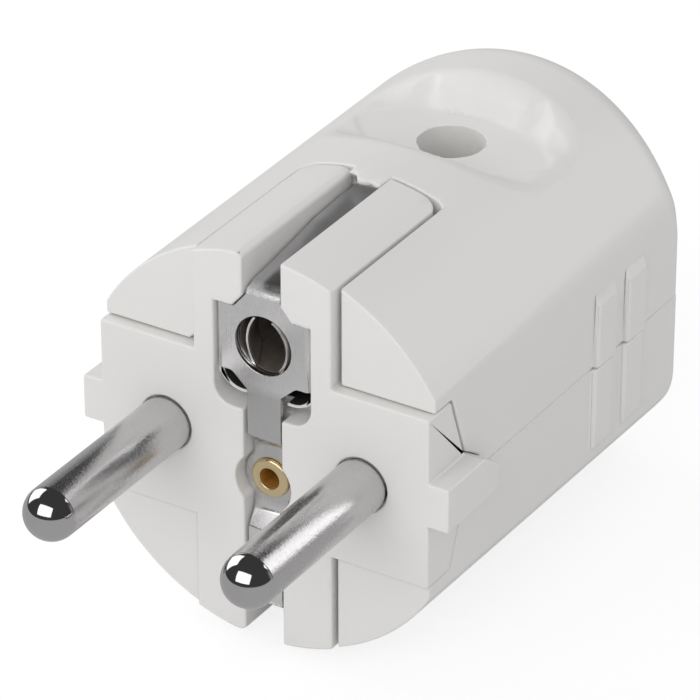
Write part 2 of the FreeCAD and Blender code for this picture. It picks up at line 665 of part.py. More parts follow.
def terminal_screw(x, y, wire_plane, block_top):
    tip = wire_plane + CLAMP_PLATE_HEIGHT + CLAMP_PLATE
    return slotted_screw(TERMINAL_SCREW_RADIUS, TERMINAL_SCREW_HEAD_RADIUS, TERMINAL_SCREW_HEAD,
                         tip, block_top + TERMINAL_SCREW_LIFT, x, y)


def clamp_plate(x, y, wire_plane):
    """Thin plate between the screw and the wire."""
    low = wire_plane + CLAMP_PLATE_HEIGHT
    return box(x - CLAMP_PLATE_HALF_WIDTH, x + CLAMP_PLATE_HALF_WIDTH, y - CLAMP_PLATE_HALF_LENGTH,
               y + CLAMP_PLATE_HALF_LENGTH, low, low + CLAMP_PLATE)


def strip_run():
    """Middle line of the earth strip from the end of the upper spring to the rivet, and its bend radii."""
    sunk = STRIP_MIDDLE + STRIP_SUNK
    crest = SPRING_HEIGHT + SPRING_RISE
    bend = STRIP_THICKNESS * 1.6
    return [
        (SPRING_LENGTH, SPRING_HEIGHT, 0),
        (SPRING_LENGTH * 0.65, crest, SPRING_LENGTH * 0.6),
        (SPRING_LENGTH * 0.38, SPRING_HEIGHT - SPRING_RISE / 2, SPRING_LENGTH * 0.6),
        (STRIP_MIDDLE + 1.35, SPRING_HEIGHT - 0.85, bend),
        (STRIP_MIDDLE, SPRING_FRONT_HEIGHT, bend),
        (STRIP_MIDDLE, UPPER_STEP_TOP, bend),
        (sunk, UPPER_STEP_BOTTOM, bend),
    ]


def strip_outline():
    """Front view of the strip: two springs joined by a neck, and the plate round the earth socket."""
    neck = STRIP_HALF_WIDTH
    top = POCKET_TOP - PLATE_GAP
    bottom = EARTH_HEIGHT + PLATE_BOTTOM
    notch = EARTH_HEIGHT - PLATE_NECK
    shoulder = GROOVE_HALF_WIDTH + POCKET_BEVEL_WIDTH - PLATE_GAP / 2
    shoulder_top = top + (shoulder - neck) * POCKET_BEVEL_HEIGHT / POCKET_BEVEL_WIDTH
    half = [(neck, REACH, 0), (neck, shoulder_top, 0.3), (shoulder, top, 0.3), (PLATE_HALF_WIDTH, top, 0.2),
            (PLATE_HALF_WIDTH, bottom, 0.2), (PLATE_LOW_CORNER, bottom, 0.8), (neck, notch, 0), (neck, -REACH, 0)]
    mirrored_half = [(-x, z, r) for x, z, r in reversed(half)]
    points = half + mirrored_half
    return prism([(x, z) for x, z, r in points], at_y, 0, REACH, [r for x, z, r in points])


def folded_plate():
    """Plate round the earth socket, its sides folded back and drawn out in the middle into wings."""
    outer = PLATE_HALF_WIDTH
    inner = outer - STRIP_THICKNESS
    points = [(-outer, WING_DEPTH), (-outer, STRIP_SETBACK), (outer, STRIP_SETBACK), (outer, WING_DEPTH),
              (inner, WING_DEPTH), (inner, STRIP_BACK), (-inner, STRIP_BACK), (-inner, WING_DEPTH)]
    fold = PLATE_FOLD_RADIUS
    inside_fold = fold - STRIP_THICKNESS
    radii = [0, fold, fold, 0, 0, inside_fold, inside_fold, 0]
    plate = prism(points, at_z, EARTH_HEIGHT + PLATE_BOTTOM, POCKET_TOP, radii)
    low_side = box(-REACH, REACH, PLATE_SIDE_DEPTH, REACH, 0, WING_PLACE - WING_HALF_HEIGHT)
    high_side = box(-REACH, REACH, PLATE_SIDE_DEPTH, REACH, WING_PLACE + WING_HALF_HEIGHT, REACH)
    return plate.cut([low_side, high_side])


def earth_strip():
    upper = strip_run()
    lower = [
        (upper[-1][0], LOWER_STEP_TOP, upper[-1][2]),
        (STRIP_MIDDLE, LOWER_STEP_BOTTOM, upper[-1][2]),
        (STRIP_MIDDLE, -SPRING_FRONT_HEIGHT, upper[4][2]),
    ]
    lower += [(y, -z, r) for y, z, r in reversed(upper[:4])]
    run = upper + lower
    flat_half = PLATE_HALF_WIDTH - PLATE_FOLD_RADIUS
    sheet = bent_sheet([(y, z) for y, z, r in run], [r for y, z, r in run], STRIP_THICKNESS, flat_half)
    pad = rod_y(RIVET_PAD_RADIUS, 0, REACH, 0, RIVET_HEIGHT)
    strip = sheet.common(joined(strip_outline(), pad))
    strip = joined(strip, folded_plate().common(strip_outline()))
    hole = rod_y(PLATE_HOLE_RADIUS, -1, SLEEVE_MOUTH + 1, 0, EARTH_HEIGHT)
    rivet_hole = rod_y(RIVET_SHANK_RADIUS + HOLE_FIT, -1, SLEEVE_MOUTH + 1, 0, RIVET_HEIGHT)
    return strip.cut([hole, rivet_hole])


def earth_sleeve():
    """Turned sleeve that takes the earth pin of the wall socket: a wide collar, then slit spring fingers."""
    bore = EARTH_BORE_RADIUS
    outer = bore + SLEEVE_WALL
    collar_bore = PLATE_HOLE_RADIUS + HOLE_FIT
    collar = collar_bore + SLEEVE_COLLAR_WALL
    tube = joined(rod_y(outer, SLEEVE_MOUTH, SLEEVE_END, 0, EARTH_HEIGHT),
                  rod_y(collar, STRIP_BACK, SLEEVE_MOUTH + SLEEVE_COLLAR_WALL, 0, EARTH_HEIGHT))
    half = SLEEVE_SLIT / 2
    level = box(-REACH, REACH, SLEEVE_SLIT_START, REACH, EARTH_HEIGHT - half, EARTH_HEIGHT + half)
    upright = box(-half, half, SLEEVE_SLIT_START, REACH, -REACH, REACH)
    return tube.cut([rod_y(bore, 0, REACH, 0, EARTH_HEIGHT), rod_y(collar_bore, 0, SLEEVE_MOUTH, 0, EARTH_HEIGHT),
                     level, upright])


def earth_rivet():
    """Hollow rivet through strip, carrier and earth terminal, with a rolled flange at each end."""
    front = STRIP_SETBACK + STRIP_SUNK
    rear = RIVET_WALL_END + EARTH_TAB
    shank = rod_y(RIVET_SHANK_RADIUS, front, rear, 0, RIVET_HEIGHT)
    flanges = []
    for y in (front - RIVET_FLANGE, rear):
        flange = rod_y(RIVET_FLANGE_RADIUS, y, y + RIVET_FLANGE, 0, RIVET_HEIGHT)
        outside = y if y < front else y + RIVET_FLANGE
        rim = [edge for edge in flange.Edges if abs(edge.BoundBox.YMin - outside) < 1e-6
               and abs(edge.BoundBox.YMax - outside) < 1e-6]
        flanges.append(flange.makeChamfer(RIVET_FLANGE_CHAMFER, rim[:1]))
    body = joined(shank, *flanges)
    return body.cut(rod_y(RIVET_BORE_RADIUS, -1, REACH, 0, RIVET_HEIGHT))


def earth_terminal():
    """Bent bar: a tab under the rivet, a run back below it and a block for the earth wire."""
    half = EARTH_BAR_HALF_WIDTH
    low = EARTH_BAR_BOTTOM
    block_end = EARTH_BLOCK_START + EARTH_BLOCK_LENGTH
    tab = box(-half, half, RIVET_WALL_END, RIVET_WALL_END + EARTH_TAB, low, RIVET_HEIGHT + half - HOLE_FIT)
    bar = box(-half, half, RIVET_WALL_END, block_end, low, low + EARTH_TAB)
    block = box(-half, half, EARTH_BLOCK_START, block_end, low, low + EARTH_BLOCK_HEIGHT)
    place = EARTH_BLOCK_START + EARTH_BLOCK_LENGTH / 2
    cuts = [
        rod_y(RIVET_SHANK_RADIUS + HOLE_FIT, 0, RIVET_WALL_END + EARTH_TAB + 1, 0, RIVET_HEIGHT),
        rod_y(WIRE_HOLE_RADIUS, EARTH_BLOCK_START - 1, block_end + 1, 0, WIRE_PLANE),
        rod_z(TERMINAL_SCREW_RADIUS + HOLE_FIT, WIRE_PLANE, REACH, 0, place),
    ]
    return joined(tab, bar, block).cut(cuts)


def cord_clamp():
    """Clamp bar with an arch over the cable and a hole at each end."""
    half = CLAMP_SCREW_OFFSET + CLAMP_POST_RADIUS
    y0 = CLAMP_PLACE - CLAMP_HALF_LENGTH
    y1 = CLAMP_PLACE + CLAMP_HALF_LENGTH
    bar = box(-half, half, y0, y1, CLAMP_POST_TOP, CLAMP_POST_TOP + CLAMP_BAR)
    arch = rod_y(CABLE_RADIUS + CLAMP_ARCH_WALL, y0, y1, 0, PARTING_HEIGHT).common(above(CLAMP_POST_TOP))
    body = joined(bar, arch)
    cuts = [rod_y(CABLE_RADIUS, y0 - 1, y1 + 1, 0, PARTING_HEIGHT)]
    for x in (-CLAMP_SCREW_OFFSET, CLAMP_SCREW_OFFSET):
        cuts.append(rod_z(CLAMP_SCREW_RADIUS + SCREW_FIT, -REACH, REACH, x, CLAMP_PLACE))
    return body.cut(cuts)


def cord_clamp_screw(x):
    seat = CLAMP_POST_TOP + CLAMP_BAR
    return slotted_screw(CLAMP_SCREW_RADIUS, CLAMP_SCREW_HEAD_RADIUS, CLAMP_SCREW_HEAD,
                         seat - CLAMP_SCREW_LENGTH, seat, x, CLAMP_PLACE)


def housing_screw():
    bottom = PARTING_HEIGHT - NUT_THICKNESS - SCREW_END_PAST_NUT
    return slotted_screw(SCREW_SHANK_RADIUS, SCREW_HEAD_RADIUS, SCREW_HEAD, bottom, SCREW_SEAT, 0, SCREW_PLACE)


def housing_nut():
    half = NUT_HALF_WIDTH
    nut = box(-half, half, SCREW_PLACE - half, SCREW_PLACE + half, PARTING_HEIGHT - NUT_THICKNESS, PARTING_HEIGHT)
    return nut.cut(rod_z(SCREW_SHANK_RADIUS + HOLE_FIT, -REACH, REACH, 0, SCREW_PLACE))


def cable_grommet():
    """Soft ring with a groove that the rear edges of both shells sit in."""
    land = BODY_LENGTH - LAND_DEPTH
    inner_wall = BODY_LENGTH - WALL - INLET_RADIUS ** 2 / (2 * TOP_CROWN_RADIUS)
    neck = rod_y(INLET_RADIUS - GROMMET_FIT, inner_wall - GROMMET_FLANGE, land, 0, PARTING_HEIGHT)
    outside = rod_y(GROMMET_FLANGE_RADIUS, land, land + GROMMET_FLANGE, 0, PARTING_HEIGHT)
    rim = [edge for edge in outside.Edges if abs(edge.BoundBox.YMin - land - GROMMET_FLANGE) < 1e-6]
    outside = outside.makeChamfer(GROMMET_CHAMFER, rim[:1])
    inside = rod_y(INLET_RADIUS + GROMMET_FLANGE, inner_wall - GROMMET_FLANGE - HOLE_FIT, inner_wall - HOLE_FIT,
                   0, PARTING_HEIGHT)
    inside = inside.cut(inner_wall_keeper())
    return joined(neck, outside, inside).cut(rod_y(CABLE_RADIUS, 0, REACH, 0, PARTING_HEIGHT))


def inner_wall_keeper():
    """Space behind the inside of the rear wall, which the inner flange stays out of."""
    return behind(0).cut(top_inside(WALL + HOLE_FIT))


save("upper_shell", upper_shell())
save("lower_shell", lower_shell())
save("contact_carrier", contact_carrier())
for side_name, side_x in (("line", PIN_X), ("neutral", -PIN_X)):
    save(side_name + "_pin", line_pin(side_x))
    save(side_name + "_terminal_screw", terminal_screw(side_x, TERMINAL_SCREW_PLACE, 0.0, HEAD_HALF_HEIGHT))
    save(side_name + "_wire_plate", clamp_plate(side_x, TERMINAL_SCREW_PLACE, 0.0))
save("earth_strip", earth_strip())
save("earth_sleeve", earth_sleeve())
save("earth_rivet", earth_rivet())
save("earth_terminal", earth_terminal())
EARTH_SCREW_PLACE = EARTH_BLOCK_START + EARTH_BLOCK_LENGTH / 2
EARTH_BLOCK_TOP = EARTH_BAR_BOTTOM + EARTH_BLOCK_HEIGHT
save("earth_terminal_screw", terminal_screw(0.0, EARTH_SCREW_PLACE, WIRE_PLANE, EARTH_BLOCK_TOP))
save("earth_wire_plate", clamp_plate(0.0, EARTH_SCREW_PLACE, WIRE_PLANE))
save("cord_clamp", cord_clamp())
save("cord_clamp_screws", cord_clamp_screw(-CLAMP_SCREW_OFFSET), cord_clamp_screw(CLAMP_SCREW_OFFSET))
save("housing_screw", housing_screw())
save("housing_nut", housing_nut())
save("cable_grommet", cable_grommet())
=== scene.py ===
# %% [markdown]
# # An earthed plug on a white table
# The plug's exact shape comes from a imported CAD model, the frame. This lesson gives it its looks: softened
# edges, moulded plastic, bright metal, studio light, and a camera that stands where the photographer stood.
# Everything is in metres, in the frame's own axes: the pins point along -Y, the cable inlet is at the +Y
# end and +Z is up.

# %% Loading the frame
import json
import math

import bmesh
import bpy
from mathutils import Matrix, Vector

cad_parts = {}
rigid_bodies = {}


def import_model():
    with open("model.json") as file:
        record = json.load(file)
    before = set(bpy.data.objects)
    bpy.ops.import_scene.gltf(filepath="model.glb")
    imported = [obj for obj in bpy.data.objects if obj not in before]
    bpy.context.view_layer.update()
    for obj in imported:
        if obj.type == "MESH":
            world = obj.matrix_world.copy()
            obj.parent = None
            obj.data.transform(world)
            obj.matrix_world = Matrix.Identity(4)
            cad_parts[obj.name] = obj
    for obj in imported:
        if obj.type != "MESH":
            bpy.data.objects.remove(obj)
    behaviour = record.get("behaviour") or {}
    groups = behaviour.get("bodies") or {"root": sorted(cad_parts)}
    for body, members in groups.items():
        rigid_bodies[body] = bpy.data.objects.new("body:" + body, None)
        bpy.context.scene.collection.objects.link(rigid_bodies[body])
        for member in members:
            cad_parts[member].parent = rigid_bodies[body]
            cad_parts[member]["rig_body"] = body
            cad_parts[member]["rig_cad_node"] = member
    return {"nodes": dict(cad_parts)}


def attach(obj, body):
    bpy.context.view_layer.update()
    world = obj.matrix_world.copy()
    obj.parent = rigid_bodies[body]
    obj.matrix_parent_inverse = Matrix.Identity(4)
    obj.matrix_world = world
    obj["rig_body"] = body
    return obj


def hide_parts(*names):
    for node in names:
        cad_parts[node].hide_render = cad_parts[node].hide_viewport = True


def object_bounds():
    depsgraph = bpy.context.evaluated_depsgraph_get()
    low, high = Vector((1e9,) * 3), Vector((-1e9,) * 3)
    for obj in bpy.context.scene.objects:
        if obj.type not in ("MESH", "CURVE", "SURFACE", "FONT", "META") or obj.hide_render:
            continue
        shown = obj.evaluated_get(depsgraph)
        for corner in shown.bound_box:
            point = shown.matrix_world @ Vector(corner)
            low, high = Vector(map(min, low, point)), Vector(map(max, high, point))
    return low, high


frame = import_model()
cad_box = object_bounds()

MM = 0.001
nodes = frame["nodes"]
print("frame:", len(nodes), "nodes, box", [[round(v / MM, 1) for v in corner] for corner in cad_box])

# %% [markdown]
# ## Camera
# A long lens from a little above and to the right. Its direction, distance and focal length are those
# at which the pins, the face and the outline of the plug fall where they do in the photograph.

# %% The camera
PICTURE = 700
SENSOR = 36.0
FOCAL_PIXELS = 4944.42
AZIMUTH = 31.779
ELEVATION = 30.029
ROLL = math.radians(-0.072)
DISTANCE = 410.05 * MM
TARGET = Vector((2.318, 10.0, 5.600)) * MM
NEAREST = 10 * MM


def towards(azimuth, elevation):
    """Direction from the plug, by degrees. Azimuth 0 is in front of the face and 90 at its right."""
    a = math.radians(azimuth)
    e = math.radians(elevation)
    return Vector((math.sin(a) * math.cos(e), -math.cos(a) * math.cos(e), math.sin(e)))


back = towards(AZIMUTH, ELEVATION)
level_right = towards(AZIMUTH + 90, 0)
level_up = back.cross(level_right)
right = level_right * math.cos(ROLL) + level_up * math.sin(ROLL)
up = back.cross(right)
turn = Matrix((right, up, back)).transposed().to_4x4()
camera_data = bpy.data.cameras.new("Camera")
camera_data.sensor_width = SENSOR
camera_data.lens = SENSOR * FOCAL_PIXELS / PICTURE
camera_data.clip_start = NEAREST
camera = bpy.data.objects.new("Camera", camera_data)
camera.matrix_world = Matrix.Translation(TARGET + back * DISTANCE) @ turn
bpy.context.collection.objects.link(camera)
bpy.context.scene.camera = camera
bpy.context.scene.view_settings.view_transform = "Standard"
print("camera:", [round(v, 3) for v in camera.location], "lens", round(camera_data.lens, 1))

# %% [markdown]
# ## Shader maths
# A material's pattern is a sum of small terms. Writing each Math node by hand is slow to read, so one
# small class wraps a socket and lets Python's own operators add the nodes.

# %% Sockets in expressions
class Wire:
    """An output socket that Python's operators can work with."""

    def __init__(self, finish, socket):
        self.finish = finish
        self.socket = socket

    def math(self, operation, *inputs):
        settings = {"operation": operation}
        return self.finish.node("ShaderNodeMath", settings, dict(enumerate(inputs)))["Value"]

    def __add__(self, other):
        return self.math("ADD", self, other)

    __radd__ = __add__

    def __mul__(self, other):
        return self.math("MULTIPLY", self, other)

    __rmul__ = __mul__

    def __sub__(self, other):
        return self.math("SUBTRACT", self, other)

    def __rsub__(self, other):
        return self.math("SUBTRACT", other, self)

    def clamped(self):
        """The value, held between 0 and 1."""
        return self.math("MINIMUM", self.math("MAXIMUM", self, 0.0), 1.0)

    def rise(self, low, high):
        """0 up to low, 1 from high on, and a straight rise between. With low above high it falls."""
        return ((self - low) * (1 / (high - low))).clamped()


class Node:
    """A node whose outputs are read as wires, by name or number."""

    def __init__(self, finish, node):
        self.finish = finish
        self.node = node

    def __getitem__(self, key):
        return Wire(self.finish, self.node.outputs[key])


print("operators ready:", "+ - *, clamped and rise")

# %% [markdown]
# ## A material in the making
# Every other node comes from one method: it takes the node's type, its settings, and the values or links of
# its sockets. All patterns read the object's own coordinates, so they stay where they are on the plug,
# whatever way the plug or the camera turns.

# %% Materials
class Finish:
    """A material in the making, with its Principled shader and its object coordinates."""

    def __init__(self, name, tree=None):
        if tree is None:
            self.material = bpy.data.materials.new(name)
            self.material.use_nodes = True
            tree = self.material.node_tree
            self.shader = tree.nodes["Principled BSDF"]
        self.tree = tree
        self.place = self.node("ShaderNodeTexCoord")["Object"]

    def node(self, kind, settings=None, inputs=None):
        node = self.tree.nodes.new(kind)
        for name, value in (settings or {}).items():
            setattr(node, name, value)
        for key, value in (inputs or {}).items():
            self.feed(node.inputs[key], value)
        return Node(self, node)

    def feed(self, socket, value):
        if isinstance(value, Wire):
            self.tree.links.new(value.socket, socket)
        else:
            socket.default_value = value

    def along(self, axis):
        """Place along an axis in millimetres."""
        return self.node("ShaderNodeSeparateXYZ", None, {0: self.place})[axis] * (1 / MM)

    def noise(self, size, detail=3.0, stretch=(1.0, 1.0, 1.0)):
        """Noise with blobs about size millimetres across, stretched along an axis by a factor below 1."""
        scaled = self.node("ShaderNodeMapping", {"vector_type": "POINT"},
                           {"Vector": self.place, "Scale": [s / (size * MM) for s in stretch]})["Vector"]
        return self.node("ShaderNodeTexNoise", None, {"Vector": scaled, "Scale": 1.0, "Detail": detail})[0]

    def mixed(self, factor, first, second):
        return self.node("ShaderNodeMix", {"data_type": "RGBA"}, {0: factor, 6: first, 7: second})[2]

    def bump(self, height, depth, strength=1.0):
        """Normal from a height between 0 and 1 that stands for depth millimetres."""
        return self.node("ShaderNodeBump", None,
                         {"Height": height, "Distance": depth * MM, "Strength": strength})["Normal"]

    def set(self, **values):
        for name, value in values.items():
            self.feed(self.shader.inputs[name.replace("_", " ")], value)
        return self.material


def srgb(red, green, blue):
    """A colour as the screen shows it, 0 to 255, as linear light."""
    def linear(value):
        value /= 255
        return value / 12.92 if value <= 0.04045 else ((value + 0.055) / 1.055) ** 2.4
    return (linear(red), linear(green), linear(blue), 1.0)


def times(colour, factor):
    """A colour made darker or lighter."""
    return [min(channel * factor, 1) for channel in colour[:3]] + [1]


print("mid grey in linear light:", round(srgb(128, 128, 128)[0], 3))

# %% [markdown]
# ## Table
# The photograph has a pure white background. The floor glows white for the camera and keeps only a faint
# shadow of the plug, while for every other ray it is plain pale paper. Bright metal mirrors a greyer table,
# as it does in the photograph, so mirror rays get a glow of their own and no light of the lamps.

# %% Floor
FLOOR_LEVEL = cad_box[0][2]
FLOOR_REACH = 1.5
FLOOR_GLOW = 0.80
FLOOR_IN_METAL = 0.48
PAPER_GREY = 0.82
SHADED_PART = 0.25

bpy.ops.object.select_all(action="DESELECT")
bpy.ops.mesh.primitive_circle_add(vertices=64, radius=FLOOR_REACH, fill_type="NGON",
                                  location=(0, 0, FLOOR_LEVEL))
floor = bpy.context.object
floor.name = "floor"
paper = Finish("white_table")


def matt(grey):
    return paper.node("ShaderNodeBsdfDiffuse", None, {"Color": (grey, grey, grey, 1)})[0]


rays = paper.node("ShaderNodeLightPath")
seen = rays["Is Camera Ray"] + rays["Is Transmission Ray"]
mirrored = rays["Is Glossy Ray"]
glow = seen * FLOOR_GLOW + mirrored * FLOOR_IN_METAL
emitted = paper.node("ShaderNodeEmission", None, {"Color": (1, 1, 1, 1), "Strength": glow})[0]
pale = paper.node("ShaderNodeMixShader", None, {0: seen.clamped(), 1: matt(PAPER_GREY), 2: matt(SHADED_PART)})
pale = paper.node("ShaderNodeMixShader", None, {0: mirrored, 1: pale[0], 2: matt(0.0)})
both = paper.node("ShaderNodeAddShader", None, {0: emitted, 1: pale[0]})[0]
paper.feed(paper.tree.nodes["Material Output"].inputs["Surface"], both)
floor.data.materials.append(paper.material)
print("floor at", round(FLOOR_LEVEL / MM, 2), "mm")

# %% [markdown]
# ## Room
# The room is white for the camera and a soft grey for the plastic. In bright metal it is almost black, which
# gives the pins and the ball tips their contrast, apart from a pale wall low behind the plug.

# %% World
WORLD_LIGHT = 0.58
ROOM_IN_METAL = 0.055
WALL_IN_METAL = 0.40
WALL_BEHIND = (0.40, 0.60)
WALL_TOP = (0.50, 0.30)

world = bpy.data.worlds.new("Studio")
world.use_nodes = True
bpy.context.scene.world = world
sky = Finish("studio", world.node_tree)
rays = sky.node("ShaderNodeLightPath")
seen = (rays["Is Camera Ray"] + rays["Is Transmission Ray"]).clamped()
direction = sky.node("ShaderNodeSeparateXYZ", None, {0: sky.node("ShaderNodeTexCoord")["Generated"]})
wall = direction["Y"].rise(*WALL_BEHIND) * direction["Z"].rise(*WALL_TOP)
in_metal = wall * (WALL_IN_METAL - ROOM_IN_METAL) + ROOM_IN_METAL
level = seen * (1 - WORLD_LIGHT) + WORLD_LIGHT + rays["Is Glossy Ray"] * (in_metal - WORLD_LIGHT)
sky.feed(world.node_tree.nodes["Background"].inputs["Strength"], level)
sky.feed(world.node_tree.nodes["Background"].inputs["Color"], (1, 1, 1, 1))
print("world:", world.name, "lights the plastic at", WORLD_LIGHT)

# %% [markdown]
# ## Lights
# A soft box in front, a little above the plug, and a wide window to its left. They light the plastic evenly,
# and their mirror images are the bright patches on the ball tips of the pins. A weak one fills the right
# flank. A box behind the plug is there only as a mirror image: the broad bright stripe along a pin.

# %% Soft boxes
LAMP_DISTANCE = 1.0


def soft_box(name, azimuth, elevation, width, height, power):
    """An area lamp aimed at the plug, with its sides in metres and its power in watts."""
    out = towards(azimuth, elevation)
    data = bpy.data.lights.new(name, "AREA")
    data.shape = "RECTANGLE"
    data.size = width
    data.size_y = height
    data.energy = power
    lamp = bpy.data.objects.new(name, data)
    aim = out.to_track_quat("Z", "Y").to_matrix().to_4x4()
    lamp.matrix_world = Matrix.Translation(TARGET + out * LAMP_DISTANCE) @ aim
    bpy.context.collection.objects.link(lamp)
    print(name, "at", [round(v, 2) for v in lamp.location], "power", power)
    return lamp


soft_box("front_box", azimuth=2, elevation=32, width=1.05, height=0.72, power=4.2)
soft_box("left_window", azimuth=259, elevation=28, width=0.70, height=0.80, power=2.9)
right_fill = soft_box("right_fill", azimuth=92, elevation=15, width=1.2, height=0.8, power=0.75)
right_fill.visible_glossy = False
mirror_box = soft_box("mirror_box", azimuth=147, elevation=25, width=0.55, height=0.66, power=1.75)
mirror_box.visible_diffuse = False

# %% [markdown]
# ## Working in edit mode
# By hand, one clicks the edges or faces to work on. A script selects them by their place or their direction.
# Nothing else may be selected, because an operator acts on all that is.

# %% Choosing parts of a mesh
def alone(piece):
    """Makes a piece the only selected one."""
    bpy.ops.object.select_all(action="DESELECT")
    bpy.context.view_layer.objects.active = piece
    piece.select_set(True)


def edit(piece):
    alone(piece)
    bpy.ops.object.mode_set(mode="EDIT")


def done():
    bpy.ops.object.mode_set(mode="OBJECT")


def choose(piece, kind, keep):
    """In edit mode, selects the vertices, edges or faces for which keep is true, and nothing else."""
    bpy.ops.mesh.select_mode(type=kind)
    bpy.ops.mesh.select_all(action="DESELECT")
    mesh = bmesh.from_edit_mesh(piece.data)
    parts = {"VERT": mesh.verts, "EDGE": mesh.edges, "FACE": mesh.faces}[kind]
    chosen = [part for part in parts if keep(part)]
    for part in chosen:
        part.select_set(True)
    mesh.select_flush_mode()
    bmesh.update_edit_mesh(piece.data)
    return len(chosen)


def centre(part):
    """Middle of a vertex, edge or face in millimetres."""
    if isinstance(part, bmesh.types.BMVert):
        return part.co / MM
    if isinstance(part, bmesh.types.BMEdge):
        return (part.verts[0].co + part.verts[1].co) / 2 / MM
    return part.calc_center_median() / MM


def sliced(piece, keep, axis, positions):
    """Cuts the chosen faces by planes across an axis, at positions in millimetres."""
    normal = [0, 0, 0]
    normal[axis] = 1
    for position in positions:
        point = [0, 0, 0]
        point[axis] = position * MM
        choose(piece, "FACE", keep)
        bpy.ops.mesh.bisect(plane_co=point, plane_no=normal)


print("edit mode helpers ready")

# %% [markdown]
# ## Copies that can be shaped
# A node of the frame is a cloud of loose triangles and is never changed. To soften a moulding, its mesh is
# copied, the triangles are joined into one closed skin, and flat areas are made one face again, so that a
# bevel finds clean edges.

# %% A closed copy of a node
WELD = 0.001 * MM
FLAT_ANGLE = math.radians(0.5)
SHARP_ANGLE = math.radians(35)


def merged_copy(node_name, piece_name):
    """A copy of a CAD node as one closed skin, at the same place."""
    piece = nodes[node_name].copy()
    piece.data = piece.data.copy()
    piece.name = piece_name
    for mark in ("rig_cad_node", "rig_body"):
        if mark in piece:
            del piece[mark]
    bpy.context.collection.objects.link(piece)
    piece.parent = None
    edit(piece)
    bpy.ops.mesh.select_all(action="SELECT")
    bpy.ops.mesh.remove_doubles(threshold=WELD)
    bpy.ops.mesh.dissolve_limited(angle_limit=FLAT_ANGLE, delimit=set())
    done()
    return piece


def apply_all(piece):
    alone(piece)
    for modifier in list(piece.modifiers):
        bpy.ops.object.modifier_apply(modifier=modifier.name)


def rounded(piece, width, segments=3, wanted=None):
    """Rounds the sharp edges by width millimetres, or only those of them that are wanted."""
    def sharp(edge):
        return edge.calc_face_angle(0) > SHARP_ANGLE and (wanted is None or wanted(edge))
    edit(piece)
    choose(piece, "EDGE", sharp)
    bpy.ops.transform.edge_bevelweight(value=1)
    done()
    bevel = piece.modifiers.new("rounded", "BEVEL")
    bevel.limit_method = "WEIGHT"
    bevel.width = width * MM
    bevel.segments = segments
    bevel.use_clamp_overlap = False
    bevel.miter_outer = "MITER_SHARP"
    apply_all(piece)


def shaded(piece, angle=40):
    """Smooth shading in which large flat faces stay flat."""
    alone(piece)
    bpy.ops.object.shade_smooth_by_angle(angle=math.radians(angle))
    weighted = piece.modifiers.new("weighted", "WEIGHTED_NORMAL")
    weighted.keep_sharp = True
    apply_all(piece)
    bpy.ops.object.select_all(action="DESELECT")


def stands_for(piece, slot, *replaced):
    """Hides the CAD nodes that the piece replaces, and attaches the piece to the root body."""
    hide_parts(*replaced)
    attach(piece, "root")
    print(piece.name, len(piece.data.polygons), "faces")


print("copy helpers ready")

# %% [markdown]
# ## Upper shell: the recess
# On the real plug the scooped recess flows into the top with no edge. Bevels can't follow an edge where two
# curved surfaces meet so flatly, so the recess is cut again, by a block whose underside is a fine grid. Its
# heights are the sharp surface, blurred. The screw lies in a lens-shaped pad with a crease behind it.

# %% Heights of the recess
SCREW_Y = 30.2
RECESS_FLOOR = 15.6
RECESS_FLAT = 2.64
RECESS_CURVE = 4.0
TOP_RADIUS = 18.4
TOP_RADIUS_GAIN = 0.15
GAIN_LENGTH = 46.7
OUTSIDE = 30.0
PAD_RADIUS = 11.0
PAD_OFFSET = 6.05
PAD_DEPTH = 0.15
PAD_STEEPNESS = 0.5
CREASE_MIDDLE = -0.3
CREASE_HALF = 3.0
CREASE_FADE = 2.6
CREASE_WIDTH = 0.3
SOFTER_WIDTH = 1.2
BELOW_SURFACE = 0.02


def eased(part):
    """A soft start and end between 0 and 1."""
    return part * part * (3 - 2 * part)


def outer_height(x, y):
    radius = TOP_RADIUS + TOP_RADIUS_GAIN * y / GAIN_LENGTH
    return math.sqrt(radius ** 2 - x ** 2)


def recess_height(y):
    climb = max(abs(y - SCREW_Y) - RECESS_FLAT, 0.0)
    if climb >= RECESS_CURVE:
        return OUTSIDE
    return RECESS_FLOOR + RECESS_CURVE - math.sqrt(RECESS_CURVE ** 2 - climb ** 2)


def pad_height(x, y):
    """Height of the pad and of the rise round it, which is steep at the crease and soft elsewhere."""
    front = math.hypot(x, y - SCREW_Y - PAD_OFFSET) - PAD_RADIUS
    rear = math.hypot(x, y - SCREW_Y + PAD_OFFSET) - PAD_RADIUS
    fade = min(max((abs(x - CREASE_MIDDLE) - CREASE_HALF) / CREASE_FADE, 0.0), 1.0)
    width = CREASE_WIDTH + SOFTER_WIDTH * eased(fade) if rear > front else 1.0
    beyond = max(front, rear, 0.0) / width
    return RECESS_FLOOR - PAD_DEPTH - BELOW_SURFACE + PAD_STEEPNESS * beyond ** 2


print("height over the screw:", round(pad_height(0, SCREW_Y), 2), "mm")

# %% [markdown]
# ## Upper shell: the cutter
# What is blurred is the depth of the recess below the outer surface, and not the height itself. So the
# sides of the shell, where the depth is nothing, are left as they are. The grid is extruded upwards to
# make a block.

# %% The cutter of the recess
GRID = 0.25
BLUR = 1.15
CUT_X = 13.0
CUT_Y = (20.75, 41.5)
CUT_TOP = 24.0
CUT_RISE = 10.0
ABOVE_SURFACE = 0.06


